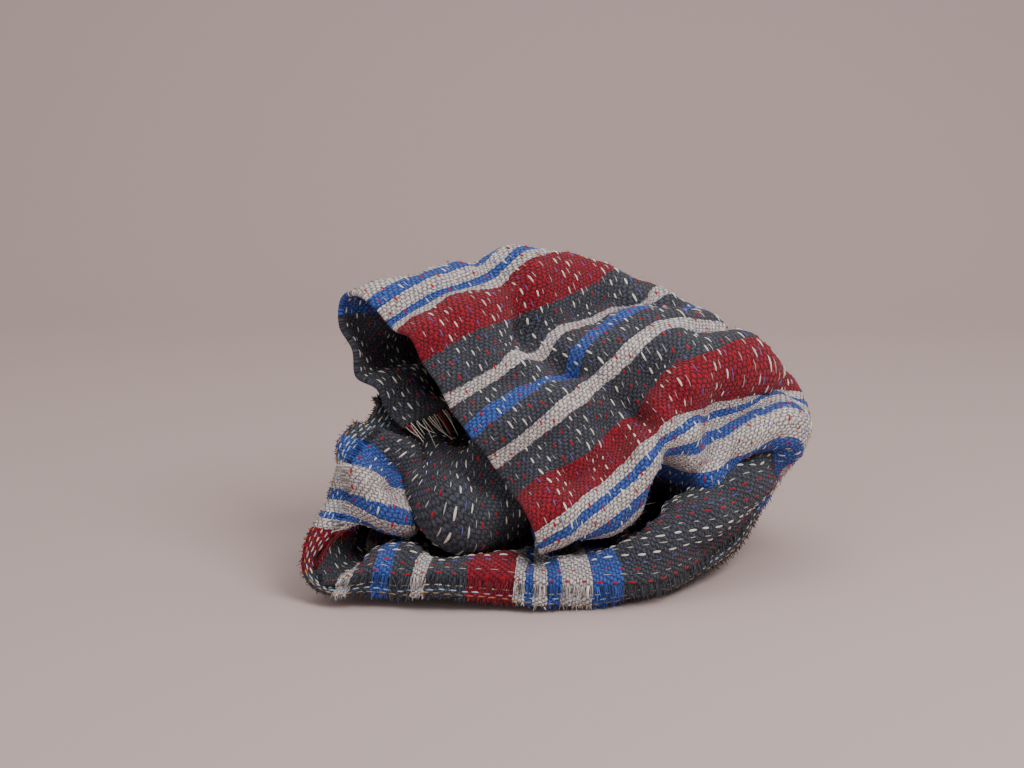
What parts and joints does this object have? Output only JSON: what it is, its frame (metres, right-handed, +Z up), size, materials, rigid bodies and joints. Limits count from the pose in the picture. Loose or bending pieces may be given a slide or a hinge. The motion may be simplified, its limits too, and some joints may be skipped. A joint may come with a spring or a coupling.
{
  "type": "wool throw",
  "caption": "Striped wool throw, doubled along its length and loosely balled up into a standing heap with an open hood at its left side.",
  "frame": {"origin": "floor under the middle of the heap's bounding box", "axes": "+X to the viewer's right, +Y away from the viewer, +Z up"},
  "size_m": [0.4962, 0.3942, 0.3081],
  "materials": {
    "wool": "coarse woven wool"
  },
  "bodies": {
    "root": {"throw": "wool"}
  },
  "joints": []
}
